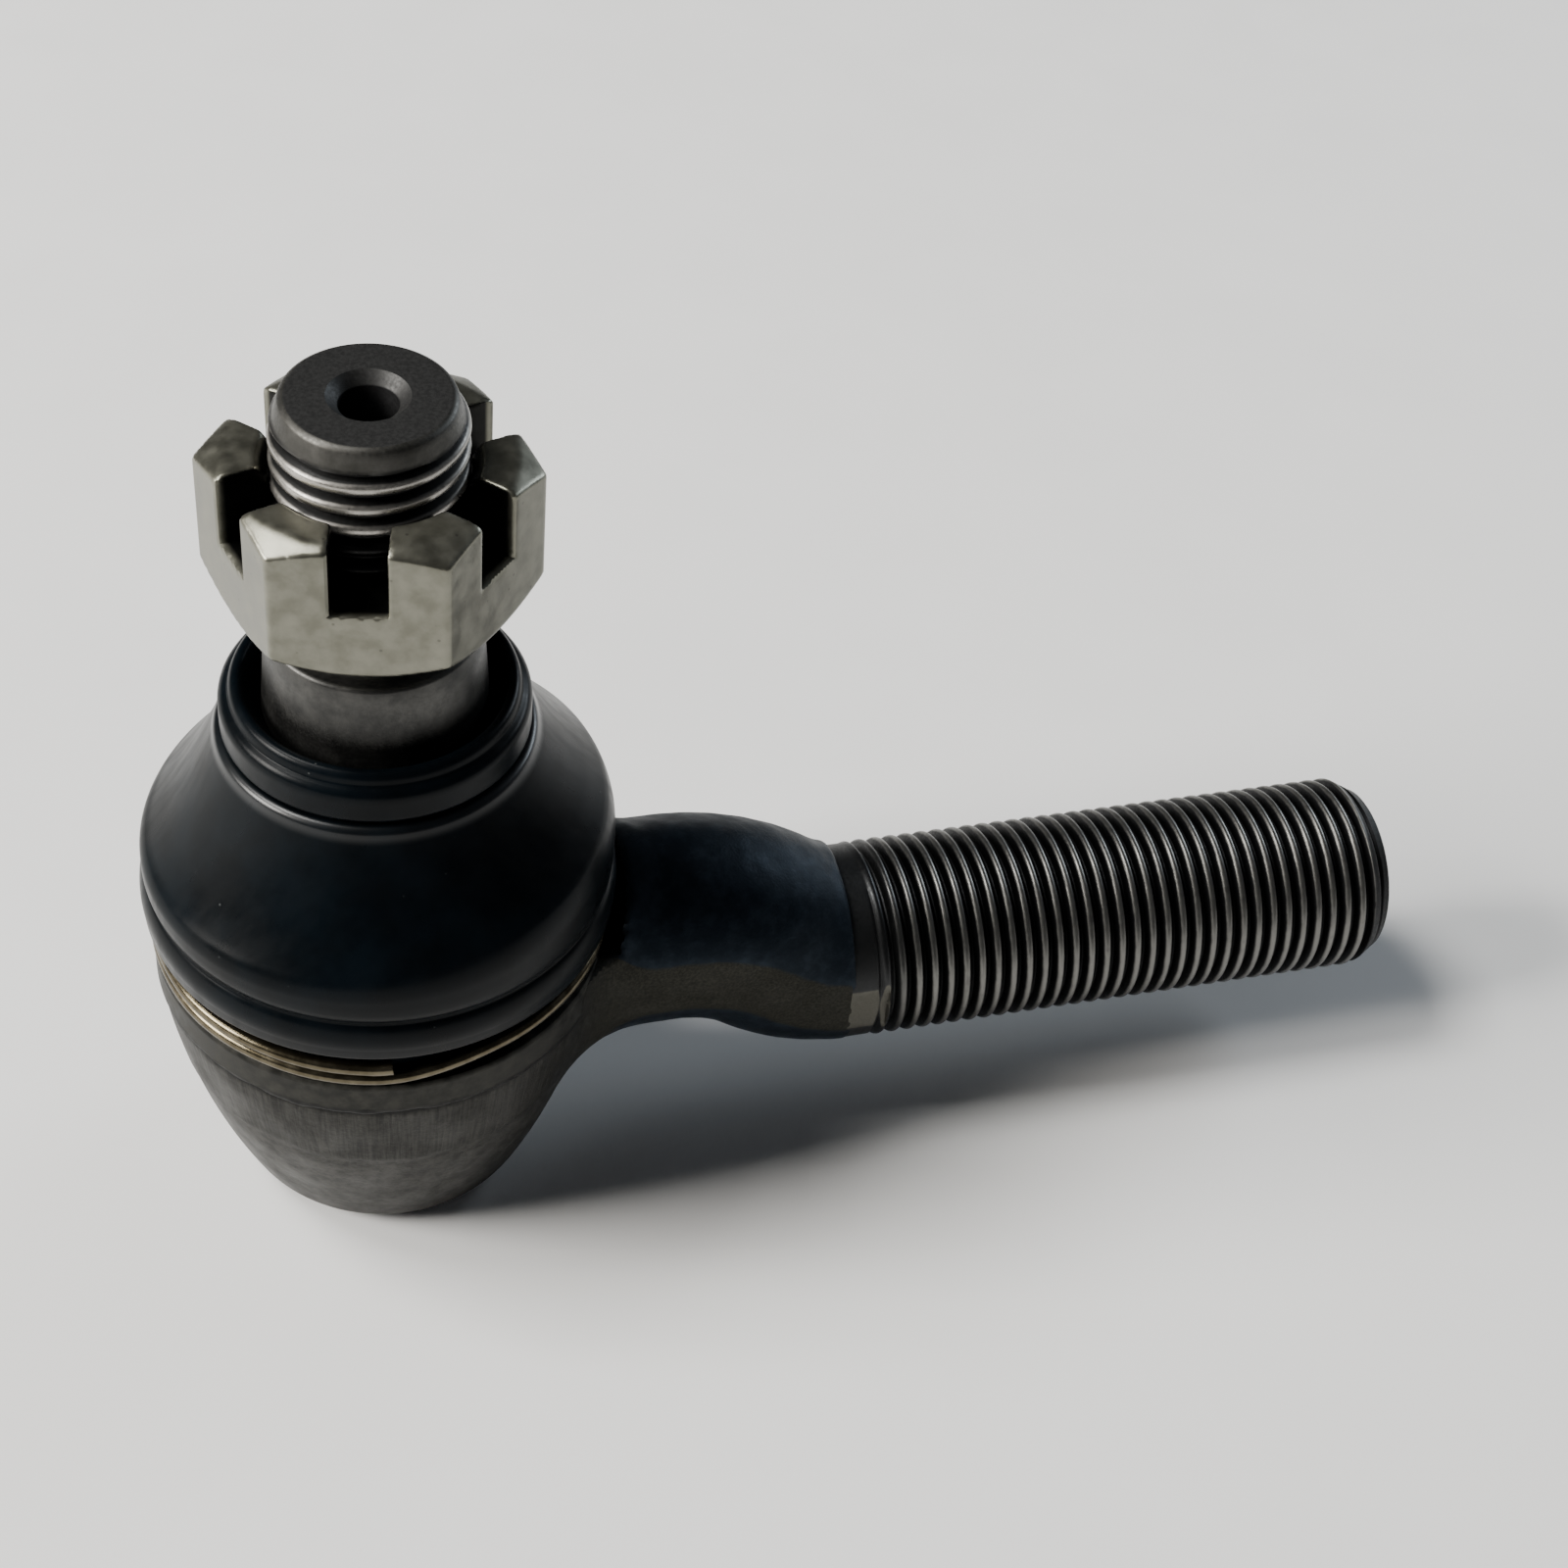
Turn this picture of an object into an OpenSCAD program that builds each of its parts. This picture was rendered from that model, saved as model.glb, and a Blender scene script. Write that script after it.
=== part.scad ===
// Tie rod end: a ball stud held in a forged socket whose neck carries an external thread.
// Z runs up the stud, X runs out along the threaded shank, Z = 0 is the socket's bottom face.
// Sizes are millimetres.

/* [Socket] */
// Radius of the turned band at the top of the socket
band_r = 25.5; // [25.2:0.1:25.7]
// Height of the lower edge of the turned band
band_z = 31.6; // [30:0.2:33]
// Height of the step that the boot ring sits on
ring_step_z = 36; // [35.5:0.1:36.5]
// Height of the socket's top face
cup_top_z = 41.6; // [41:0.2:42]
// Radius of the arc that the forged bowl's side follows
bowl_arc_r = 102; // [92:1:130]
// Radius of the bore that holds the seats
bore_r = 17.6; // [17.4:0.1:17.7]

/* [Ball joint] */
// Radius of the ball
ball_r = 15.5; // [15:0.1:15.5]
// Height of the ball's centre
ball_z = 24.5; // [24.3:0.1:24.8]
// Gap between the ball and its seats
ball_gap = 0.1; // [0.05:0.01:0.2]
// Radius of the stud's neck above the ball
stud_neck_r = 8.2; // [7.5:0.1:8.5]

/* [Stud] */
// Height of the stud's end face
stud_top_z = 109.5; // [106:0.5:114]
// Nominal thread size of the stud
stud_d = 19.7; // [19:0.1:19.9]
// Thread pitch of the stud
stud_pitch = 2.5; // [2:0.5:2.5]
// Radius of the small end of the 1:8 taper
taper_small_r = 11.3; // [11:0.1:11.6]
// Height of the small end of the taper
taper_top_z = 80.7; // [79:0.1:82]
// Height of the large end of the taper
taper_low_z = 60; // [58:0.5:61]
// Radius of the cotter pin hole
cotter_r = 2.4; // [2:0.1:2.6]

/* [Castle nut] */
// Width across the flats
nut_af = 30; // [28:0.5:32]
// Height of the nut with its prongs
nut_h = 16; // [14:0.5:20]
// Height of the nut's lower face
nut_z = 86.3; // [85.5:0.1:87.5]
// Depth of the slots
slot_depth = 8.1; // [6:0.1:9]
// Width of the slots
slot_w = 5.7; // [4.5:0.1:6.5]
// Direction of one flat, in degrees from the shank
nut_turn = 16.64; // [0:0.01:60]

/* [Shank] */
// Height of the shank's axis
shank_z = 20; // [19:0.5:22]
// Nominal thread size of the shank
shank_d = 24; // [22:0.5:24.5]
// Thread pitch of the shank
shank_pitch = 2; // [1.5:0.5:2]
// Distance from the stud's axis to the shank's end
shank_end_x = 125; // [101:2:149]
// Distance from the stud's axis to the first thread
thread_start_x = 57.5; // [57.5:0.5:61]
// Radius of the forged neck
neck_r = 12.5; // [12.2:0.1:12.6]
// Half distance between the neck's trimmed flats
neck_half_w = 11.4; // [11:0.1:12]

/* [Boot] */
// Radius of the bead around the foot of the boot
bead_r = 26.4; // [26:0.1:26.8]
// Height of the crease above the bead
crease_z = 46.8; // [46:0.1:48]
// Radius of the collar at the top of the boot
collar_r = 16.45; // [16.2:0.05:17]
// Height of the collar's top
collar_top_z = 73.1; // [72.6:0.1:74]
// Thickness of the rubber
rubber_t = 2.3; // [1.8:0.1:2.6]
// Thickness of the wire in the retaining ring
wire_d = 1.6; // [1.4:0.1:1.7]

/* [Hidden] */
$fn = 96;

// Socket
bowl_r_max = 25.9;          // radius that the forged bowl's side would reach at bowl_mid_z
bowl_mid_z = 42.6;          // height of the centre of the bowl's arc
base_r = 14.8;              // radius where the bottom face ends
lip_mouth_r = 10.8;         // opening that the rolled lip leaves in the bottom
cover_low_z = 6;            // underside of the cover's rim
cover_t = 2.4;              // plate thickness of the cover
foot_wall_r = 23.3;         // wall that the foot of the boot grips
neck_clear_r = 27.6;        // turned clearance around the boot's foot
shoulder_z = 34.8;          // shoulder that the upper seat bears on
seat_split_z = ball_z + 0.2;
takeup_gap = 0.9;           // space between the two seats
throat_low_r = 14.4;        // throat above the upper seat
throat_slope = 0.48;        // widening of the throat, clear of the swinging stud
sphere_gap_r = ball_r + ball_gap;

// Neck: an oblique length steps the forging from its height at the bowl down to the shank's axis
neck_z = 28.7;
neck_low_x = 8;
bend_high_x = 38;
bend_low_x = 53;
bend_fall = neck_z - shank_z;
bend_angle = atan2(bend_fall, bend_low_x - bend_high_x);
bend_len = norm([bend_fall, bend_low_x - bend_high_x]);
bend_r = neck_r - 0.05;     // the oblique length is a little thinner than the ends
knuckle_r = neck_r - 0.02;  // rounding at each bend
turned_start_x = 54.8;      // where the lathe-turned blank begins
flat_end_x = 57;            // where the trimmed flats run out
shank_r = shank_d / 2;
blank_r = shank_r - 0.2;    // turned length between the forged neck and the thread
end_chamfer = 3;            // length of the chamfer at the shank's end
end_face_r = shank_r - 1.8;

// Stud
stud_r = stud_d / 2;
taper_low_r = taper_small_r + (taper_top_z - taper_low_z) / 16;
relief_r = 8.5;             // undercut between the thread and the taper
dog_r = 8.75;               // plain lead-in above the thread, widening downwards
dog_low_r = 9.25;
dog_len = 2.9;
face_r = 8.16;              // rim of the end face
centre_r = 2.95;            // blind centre hole in the end face
centre_mouth_r = 4.15;
centre_depth = 5;
flare_low_z = 53.5;         // where the neck starts to flare to the taper
cotter_z = nut_z + nut_h - slot_depth + cotter_r + 0.7;
cotter_turn = nut_turn;

// Boot
skirt_in_r = foot_wall_r + 0.1;
skirt_t = 0.65;
skirt_low_z = ring_step_z + 0.1;
bead_low_z = 40.9;
wall_r = 26;                // short upright wall above the crease
shoulder_r = 5.5;           // rounding from the upright wall to the cone
shoulder_low_z = 50.4;
shoulder_turn = 35;
cone_top_r = 17.2;          // top of the cone, at the groove under the collar
cone_top_z = 66.5;
cone_sag = 0.5;             // how far the cone's side bows in
collar_low_z = 67.9;
collar_groove_r = 15.4;
lip_z = 70.1;               // sealing lip against the stud
stud_gap = 0.15;            // running gap of the lip and the insert
insert_low_z = 65.9;
insert_high_z = 69.3;
insert_t = 1.5;

// Radius of the forged bowl at a height
function bowl_r(z) = bowl_r_max - bowl_arc_r + sqrt(pow(bowl_arc_r, 2) - pow(bowl_mid_z - z, 2));

// Radius of the stud's taper at a height
function taper_r(z) = taper_small_r + (taper_top_z - z) / 16;

// Points of a quarter ellipse, from the side to the top
function quarter(cx, cz, a, b, steps, from = 0, to = 90) =
    [for (i = [0:steps]) let (t = from + (to - from) * i / steps) [cx + a * cos(t), cz + b * sin(t)]];

// Points of a bowed line after its first point, the bow being to the right of its direction when positive
function bowed(a, b, sag, steps) =
    let (side = [b[1] - a[1], a[0] - b[0]] / norm(b - a))
    [for (i = [1:steps]) let (t = i / steps) a + t * (b - a) + 4 * sag * t * (1 - t) * side];

// Ring grooves of a 60 degree thread, as [radius, distance] points from low to high
function thread_outline(r, pitch, low, turns) =
    let (depth = 0.6134 * pitch)
    [for (i = [0:turns - 1], p = [[r - depth, 0], [r, 0.42], [r, 0.58]]) [p[0], low + (i + p[1]) * pitch]];

function reversed(v) = [for (i = [len(v) - 1:-1:0]) v[i]];

// Solid of revolution about the shank's axis, from [radius, x] points
module about_shank() {
    translate([0, 0, shank_z])
        rotate([0, 90, 0])
            rotate_extrude()
                children();
}

module bowl() {
    steps = 10;
    wall = [for (i = [0:steps]) let (z = 2 + (band_z - 2) * i / steps) [bowl_r(z), z]];
    rotate_extrude()
        polygon(concat(
            [[0, 0], [base_r, 0], [base_r + 2, 0.6]],
            wall,
            [[band_r, band_z], [band_r, ring_step_z], [foot_wall_r, ring_step_z],
             [foot_wall_r, cup_top_z - 0.6], [foot_wall_r - 0.6, cup_top_z], [0, cup_top_z]]));
}

// The socket's inside: rolled lip, seat bore, seat shoulder and throat
module socket_bore() {
    throat_h = cup_top_z + 1 - shoulder_z;
    rotate_extrude()
        polygon([[0, -1], [lip_mouth_r, -1], [lip_mouth_r, 1.6], [14, 3.6], [16.4, 5],
                 [bore_r, cover_low_z], [bore_r, shoulder_z], [throat_low_r, shoulder_z],
                 [throat_low_r + throat_slope * throat_h, cup_top_z + 1], [0, cup_top_z + 1]]);
}

module oblique_length() {
    translate([bend_high_x, 0, neck_z])
        rotate([0, 90 + bend_angle, 0]) {
            sphere(r = knuckle_r);
            cylinder(r = bend_r, h = bend_len);
            translate([0, 0, bend_len])
                sphere(r = knuckle_r);
        }
}

module neck() {
    intersection() {
        union() {
            translate([neck_low_x, 0, neck_z])
                rotate([0, 90, 0])
                    cylinder(r = neck_r, h = bend_high_x - neck_low_x);
            oblique_length();
            translate([bend_low_x, 0, shank_z])
                rotate([0, 90, 0])
                    cylinder(r = neck_r, h = turned_start_x - bend_low_x + 1);
        }
        translate([0, -neck_half_w, 0])
            cube([turned_start_x, 2 * neck_half_w, 60]);
    }
}

module turned_blank() {
    intersection() {
        translate([turned_start_x, 0, shank_z])
            rotate([0, 90, 0])
                cylinder(r = blank_r, h = flat_end_x - turned_start_x);
        translate([turned_start_x - 1, -neck_half_w, 0])
            cube([flat_end_x, 2 * neck_half_w, 60]);
    }
}

module shank() {
    root = shank_r - 0.6134 * shank_pitch;
    turns = floor((shank_end_x - end_chamfer - thread_start_x) / shank_pitch);
    last_x = thread_start_x + turns * shank_pitch;
    about_shank()
        polygon(concat(
            [[0, flat_end_x], [root, flat_end_x]],
            thread_outline(shank_r, shank_pitch, thread_start_x, turns),
            [[root, last_x], [shank_r - 0.3, last_x + 0.8], [shank_r - 0.5, last_x + 1.1],
             [root, last_x + 1.9], [end_face_r, shank_end_x], [0, shank_end_x]]));
}

module housing() {
    color([0.36, 0.36, 0.35])
        difference() {
            union() {
                bowl();
                difference() {
                    neck();
                    translate([0, 0, ring_step_z])
                        cylinder(r = neck_clear_r, h = 20);
                }
                turned_blank();
                shank();
            }
            socket_bore();
        }
}

// Upper bearing ring, pressed against the shoulder under the throat
module upper_seat() {
    color([0.86, 0.84, 0.76])
        difference() {
            translate([0, 0, seat_split_z])
                cylinder(r = bore_r - 0.05, h = shoulder_z - seat_split_z);
            translate([0, 0, ball_z])
                sphere(r = sphere_gap_r);
            translate([0, 0, shoulder_z - 6])
                cylinder(r1 = throat_low_r - 6 * throat_slope, r2 = throat_low_r + throat_slope, h = 8);
        }
}

// Lower bearing cup, pushed up against the ball by the disc spring
module lower_seat() {
    low = cover_low_z + cover_t + 2.55;
    color([0.82, 0.8, 0.72])
        difference() {
            translate([0, 0, low])
                cylinder(r = bore_r - 0.08, h = seat_split_z - takeup_gap - low);
            translate([0, 0, ball_z])
                sphere(r = sphere_gap_r);
            translate([0, 0, low - 1])
                cylinder(r = 9, h = 6);
        }
}

module disc_spring() {
    low = cover_low_z + cover_t;
    color([0.3, 0.32, 0.36])
        rotate_extrude()
            polygon([[10, low + 1.3], [17.2, low], [17.2, low + 1.2], [10, low + 2.5]]);
}

// Pressed plate held by the rolled lip, with a dished centre
module end_cover() {
    low = cover_low_z;
    color([0.55, 0.55, 0.53])
        rotate_extrude()
            polygon([[0, low - 1.6], [7, low - 1.6], [9.4, low], [bore_r - 0.1, low],
                     [bore_r - 0.1, low + cover_t], [8.6, low + cover_t], [6.2, low + cover_t - 1.6],
                     [0, low + cover_t - 1.6]]);
}

// Wire ring of two turns, one above the other, drawn as two closed turns that touch
module boot_wire_ring() {
    ring_r = skirt_in_r + skirt_t + 0.03 + wire_d / 2;
    low = ring_step_z + 0.05 + wire_d / 2;
    color([0.78, 0.74, 0.62]) {
        for (turn = [0, 1])
            translate([0, 0, low + turn * (wire_d - 0.05)])
                rotate_extrude()
                    translate([ring_r, 0])
                        circle(r = wire_d / 2, $fn = 24);
    }
}

// Outer outline of the rubber, from the foot to the collar's mouth
function boot_outside() = concat(
    [[skirt_in_r + skirt_t, skirt_low_z], [skirt_in_r + skirt_t, bead_low_z + 0.6]],
    quarter(bead_r - 1.6, bead_low_z + 2.2, 1.6, 2.2, 5, -85, 0),
    quarter(bead_r - 1.4, crease_z - 2.2, 1.4, 2.1, 4, 10, 70),
    [[wall_r - 0.35, crease_z], [wall_r, crease_z + 0.7]],
    quarter(wall_r - shoulder_r, shoulder_low_z, shoulder_r, shoulder_r, 4, 0, shoulder_turn),
    bowed([wall_r - shoulder_r * (1 - cos(shoulder_turn)), shoulder_low_z + shoulder_r * sin(shoulder_turn)],
          [cone_top_r, cone_top_z], -cone_sag, 7),
    [[collar_groove_r, collar_low_z - 1], [collar_r - 0.3, collar_low_z], [collar_r, collar_low_z + 0.5],
     [collar_r, collar_top_z - 1.8], [collar_r - 0.4, collar_top_z - 0.8], [collar_r - 1.2, collar_top_z],
     [collar_r - 2.1, collar_top_z], [collar_r - 2.7, collar_top_z - 0.4]]);

// Inner outline of the rubber, from the foot to the sealing lip, with the pocket of the insert
function boot_inside() = concat(
    [[skirt_in_r, skirt_low_z], [skirt_in_r, cup_top_z]],
    [[wall_r - rubber_t, cup_top_z + 1.6]],
    quarter(wall_r - shoulder_r, shoulder_low_z, shoulder_r - rubber_t, shoulder_r - rubber_t, 3,
            0, shoulder_turn),
    bowed([wall_r - shoulder_r + (shoulder_r - rubber_t) * cos(shoulder_turn),
           shoulder_low_z + (shoulder_r - rubber_t) * sin(shoulder_turn)],
          [cone_top_r - 2, cone_top_z - rubber_t], -cone_sag, 6),
    [[taper_r(insert_low_z) + 0.5, insert_low_z - 1],
     [taper_r(insert_low_z) + 0.5, insert_low_z - 0.1],
     [taper_r(insert_low_z) + insert_t + stud_gap + 0.1, insert_low_z - 0.1],
     [taper_r(insert_high_z) + insert_t + stud_gap + 0.15, insert_high_z + 0.1],
     [taper_r(lip_z) + stud_gap, insert_high_z + 0.1], [taper_r(lip_z) + stud_gap, lip_z]]);

module boot() {
    color([0.07, 0.075, 0.08])
        rotate_extrude()
            polygon(concat(boot_outside(), reversed(boot_inside())));
}

// Stiff ring inside the boot's collar that the stud turns in
module collar_insert() {
    low_r = taper_r(insert_low_z) + stud_gap;
    high_r = taper_r(insert_high_z) + stud_gap;
    color([0.7, 0.7, 0.66])
        rotate_extrude()
            polygon([[low_r, insert_low_z], [low_r + insert_t, insert_low_z],
                     [high_r + insert_t, insert_high_z], [high_r, insert_high_z]]);
}

module ball_stud() {
    root = stud_r - 0.6134 * stud_pitch;
    thread_top_z = stud_top_z - dog_len;
    turns = floor((thread_top_z - taper_top_z - 2.4) / stud_pitch);
    thread_low_z = thread_top_z - turns * stud_pitch;
    color([0.5, 0.5, 0.49])
        difference() {
            union() {
                translate([0, 0, ball_z])
                    sphere(r = ball_r);
                rotate_extrude()
                    polygon(concat(
                        [[0, ball_z], [stud_neck_r, ball_z], [stud_neck_r, flare_low_z],
                         [taper_low_r - 0.6, taper_low_z - 1.2], [taper_low_r, taper_low_z],
                         [taper_small_r, taper_top_z], [taper_small_r - 0.5, taper_top_z + 0.5],
                         [relief_r, taper_top_z + 0.5], [relief_r, thread_low_z - 0.2]],
                        thread_outline(stud_r, stud_pitch, thread_low_z, turns),
                        [[root, thread_top_z], [dog_low_r, thread_top_z + 0.3],
                         [dog_r, stud_top_z - 0.8], [face_r, stud_top_z], [0, stud_top_z]]));
            }
            translate([0, 0, cotter_z])
                rotate([0, 90, cotter_turn])
                    cylinder(r = cotter_r, h = 3 * stud_d, center = true);
            translate([0, 0, stud_top_z - centre_depth])
                cylinder(r = centre_r, h = centre_depth + 1);
            translate([0, 0, stud_top_z - 1.1])
                cylinder(r1 = centre_r - 0.05, r2 = centre_mouth_r + 0.1, h = 1.2);
            translate([0, 0, stud_top_z - centre_depth - 1.7])
                cylinder(r1 = 0.1, r2 = centre_r, h = 1.701);
        }
}

module castle_nut() {
    corner_r = nut_af / 2 / cos(30);
    wide_r = corner_r + 0.1;
    top_r = 0.48 * nut_af;
    low_r = 0.485 * nut_af;
    color([0.7, 0.69, 0.64])
        translate([0, 0, nut_z])
            difference() {
                intersection() {
                    rotate([0, 0, nut_turn + 30])
                        cylinder(r = corner_r, h = nut_h, $fn = 6);
                    rotate_extrude()
                        polygon([[0, 0], [low_r, 0], [wide_r, 0.7 * (wide_r - low_r)],
                                 [wide_r, nut_h - 0.5 * (wide_r - top_r)], [top_r, nut_h], [0, nut_h]]);
                }
                translate([0, 0, -1])
                    cylinder(r = stud_r + 0.08, h = nut_h + 2);
                translate([0, 0, -0.01])
                    cylinder(r1 = stud_r + 1.1, r2 = stud_r, h = 1.1);
                translate([0, 0, nut_h - 1.09])
                    cylinder(r1 = stud_r, r2 = stud_r + 1.1, h = 1.1);
                for (i = [0:2])
                    rotate([0, 0, nut_turn + 60 * i])
                        translate([-nut_af, -slot_w / 2, nut_h - slot_depth])
                            cube([2 * nut_af, slot_w, slot_depth + 1]);
            }
}

housing();
upper_seat();
lower_seat();
disc_spring();
end_cover();
boot_wire_ring();
boot();
collar_insert();
ball_stud();
castle_nut();
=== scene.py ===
import math

import bmesh
import bpy
import numpy as np
from mathutils import Matrix, Vector


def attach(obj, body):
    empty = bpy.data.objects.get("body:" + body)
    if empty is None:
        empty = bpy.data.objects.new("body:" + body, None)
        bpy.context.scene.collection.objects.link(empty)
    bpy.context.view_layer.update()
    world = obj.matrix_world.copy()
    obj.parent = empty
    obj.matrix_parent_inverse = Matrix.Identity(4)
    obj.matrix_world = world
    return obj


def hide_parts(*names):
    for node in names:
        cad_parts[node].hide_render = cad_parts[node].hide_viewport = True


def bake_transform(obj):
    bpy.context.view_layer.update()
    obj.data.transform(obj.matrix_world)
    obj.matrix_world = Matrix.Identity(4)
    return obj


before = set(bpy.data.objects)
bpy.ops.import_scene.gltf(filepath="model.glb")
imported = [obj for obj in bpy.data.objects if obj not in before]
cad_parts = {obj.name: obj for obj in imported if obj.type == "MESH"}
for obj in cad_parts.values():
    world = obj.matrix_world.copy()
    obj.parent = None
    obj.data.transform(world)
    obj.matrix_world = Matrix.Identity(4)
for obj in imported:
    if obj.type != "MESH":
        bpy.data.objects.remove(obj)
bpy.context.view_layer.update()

# ---------------------------------------------------------------- sizes, in millimetres
BALL_R, BALL_Z = 15.5, 24.5
CUP_R, CUP_MID_Z, CUP_ARC = 25.9, 42.6, 102.0    # the arc that the forged bowl's side follows
BAND_R, BAND_TOP = 25.5, 36.0
FOOT_WALL_R, CUP_TOP = 23.3, 41.6
LIP_R, LIP_TOP, BORE_R, BORE_TOP = 10.8, 6.2, 17.6, 34.8
THROAT_R, THROAT_FLARE = 14.4, 0.48
NECK_R, NECK_FLAT = 12.5, 11.4
NECK_Z, SHANK_Z = 28.7, 20.0
BEND_X0, BEND_X1 = 33.0, 58.0
FORGED_END = 54.8
SHANK_R, SHANK_PITCH, SHANK_END = 12.0, 2.0, 125.0
STUD_TOP, STUD_R, STUD_PITCH = 109.5, 9.85, 2.5
TAPER_R, TAPER_TOP, TAPER_LOW = 11.3, 80.7, 60.0   # the taper is 1:8 on its diameter
NUT_Z, NUT_H, NUT_AF, NUT_TURN = 86.3, 16.0, 30.0, 16.64
SLOT_W, SLOT_FLOOR = 5.7, 94.2


# ---------------------------------------------------------------- mesh helpers
def add_object(name, verts, faces, crease=40.0, normals=None):
    """A smooth-shaded mesh object from points in millimetres. Edges over crease degrees stay sharp."""
    mesh = bpy.data.meshes.new(name)
    mesh.from_pydata((np.asarray(verts, float) * 0.001).tolist(), [], faces)
    mesh.validate()
    mesh.shade_smooth()
    if normals is None:
        mesh.set_sharp_from_angle(angle=math.radians(crease))
    else:
        mesh.normals_split_custom_set_from_vertices(np.asarray(normals).tolist())
    obj = bpy.data.objects.new(name, mesh)
    bpy.context.scene.collection.objects.link(obj)
    return obj


def grid_faces(rows, cols, closed=False):
    """Quads of a grid that wraps round its columns, and round its rows too when closed."""
    i = np.arange(rows if closed else rows - 1)[:, None]
    j = np.arange(cols)[None, :]
    k, m = (i + 1) % rows, (j + 1) % cols
    quads = np.stack([i * cols + j, i * cols + m, k * cols + m, k * cols + j], axis=-1)
    return quads.reshape(-1, 4).tolist()


def arc(cx, cz, rx, rz, start, end, steps):
    """Points on an ellipse, from start to end degrees."""
    t = np.radians(np.linspace(start, end, steps + 1))
    return [(cx + rx * math.cos(a), cz + rz * math.sin(a)) for a in t]


def dense(points, step):
    """The same outline with extra points, none further apart than step."""
    out = [points[0]]
    for (a, b), (c, d) in zip(points[:-1], points[1:]):
        n = max(1, math.ceil(math.hypot(c - a, d - b) / step))
        out += [(a + (c - a) * k / n, b + (d - b) * k / n) for k in range(1, n + 1)]
    return out


def lathe(name, outline, cols=160, closed=False, crease=40.0, shift=None):
    """A solid of revolution about Z. An open outline starts and ends on the axis."""
    r = np.array([p[0] for p in outline], float)[:, None] * np.ones(cols)
    z = np.array([p[1] for p in outline], float)[:, None] * np.ones(cols)
    a = np.linspace(0, 2 * math.pi, cols, endpoint=False)[None, :]
    if shift:
        r, z = shift(r, z, a)
    verts = np.stack([r * np.cos(a), r * np.sin(a), z], axis=-1).reshape(-1, 3)
    faces = grid_faces(len(outline), cols, closed)
    obj = add_object(name, verts, faces, crease)
    merge(obj, crease)
    return obj


def merge(obj, crease, distance=2e-7):
    """Joins points that meet, so poles and run-outs have no empty faces, and turns normals outward."""
    bm = bmesh.new()
    bm.from_mesh(obj.data)
    bmesh.ops.remove_doubles(bm, verts=bm.verts, dist=distance)
    bmesh.ops.dissolve_degenerate(bm, edges=bm.edges, dist=distance / 2)
    bmesh.ops.recalc_face_normals(bm, faces=bm.faces)
    bm.to_mesh(obj.data)
    bm.free()
    obj.data.shade_smooth()
    obj.data.set_sharp_from_angle(angle=math.radians(crease))


def lay_along_x(obj, height):
    """Turns a piece made along Z so that it lies along X at this height."""
    obj.data.transform(Matrix(((0, 0, 1, 0), (0, -1, 0, 0), (1, 0, 0, height * 0.001), (0, 0, 0, 1))))


# Half of a rolled thread's outline: distance from the crest's middle in pitches, share of the depth
THREAD_OUTLINE = ((0.0, 0.0), (0.08, 0.02), (0.16, 0.09), (0.24, 0.24), (0.33, 0.62), (0.41, 0.93),
                  (0.5, 1.0))


def threaded(name, low_part, high_part, radius, pitch, low, high, limit, depth, shift=0.0, cols=144,
             flat=None):
    """A right-hand thread from low to high between two turned ends. limit(z) caps the crest at the run-outs,
    as the greatest radius there and how much of the thread's depth is cut."""
    away_points, shares = zip(*THREAD_OUTLINE)
    stations = np.array(sorted({-d for d in away_points[1:-1]} | set(away_points)))
    turns = int((high - low) / pitch) + 4
    start = low - 2 * pitch + shift
    base = np.concatenate([start + (k + stations) * pitch for k in range(turns)])
    per, rows = len(stations), len(stations) * turns
    a = np.linspace(0, 2 * math.pi, cols, endpoint=False)

    def radius_at(z):
        phase = (z - start) / pitch - a / (2 * math.pi)
        cap, cut = limit(z)
        share = np.interp(np.abs(phase - np.round(phase)), away_points, shares)
        return np.minimum(radius - depth * share * cut, cap)

    z = np.clip(base[:, None] + pitch * a / (2 * math.pi), low, high)
    r = radius_at(z)
    verts = np.stack([r * np.cos(a), r * np.sin(a), z], axis=-1).reshape(-1, 3).tolist()
    i, j = np.arange(rows)[:, None], np.arange(cols)[None, :]
    beside = np.where(j + 1 < cols, i * cols + j + 1, (i + per) * cols)
    above, above_beside = i * cols + j + cols, beside + cols
    keep = (above_beside < rows * cols) & (above < rows * cols)
    here = np.broadcast_to(i * cols + j, keep.shape)
    faces = np.stack([here, beside, above_beside, above], axis=-1)[keep].tolist()
    # the turned ends share the thread's end rings
    for part, edge in ((low_part, low), (high_part, high)):
        first = len(verts)
        rings = [(radius_at(np.full(cols, edge)), edge)] + list(part)
        for rr, zz in rings:
            verts += np.stack([rr * np.cos(a), rr * np.sin(a), np.full(cols, zz)], axis=-1).tolist()
        faces += (np.array(grid_faces(len(rings), cols)) + first).tolist()
    if flat:
        verts = flat(np.array(verts))
    obj = add_object(name, verts, faces)
    merge(obj, 40.0, 2e-6)
    return obj


# ---------------------------------------------------------------- shapes as distance fields
def smooth_min(a, b, k):
    h = np.clip(0.5 + 0.5 * (b - a) / k, 0, 1)
    return b + (a - b) * h - k * h * (1 - h)


def smooth_max(a, b, k):
    return -smooth_min(-a, -b, k)


def step_between(v, low, high):
    t = np.clip((v - low) / (high - low), 0, 1)
    return t * t * (3 - 2 * t)


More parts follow.
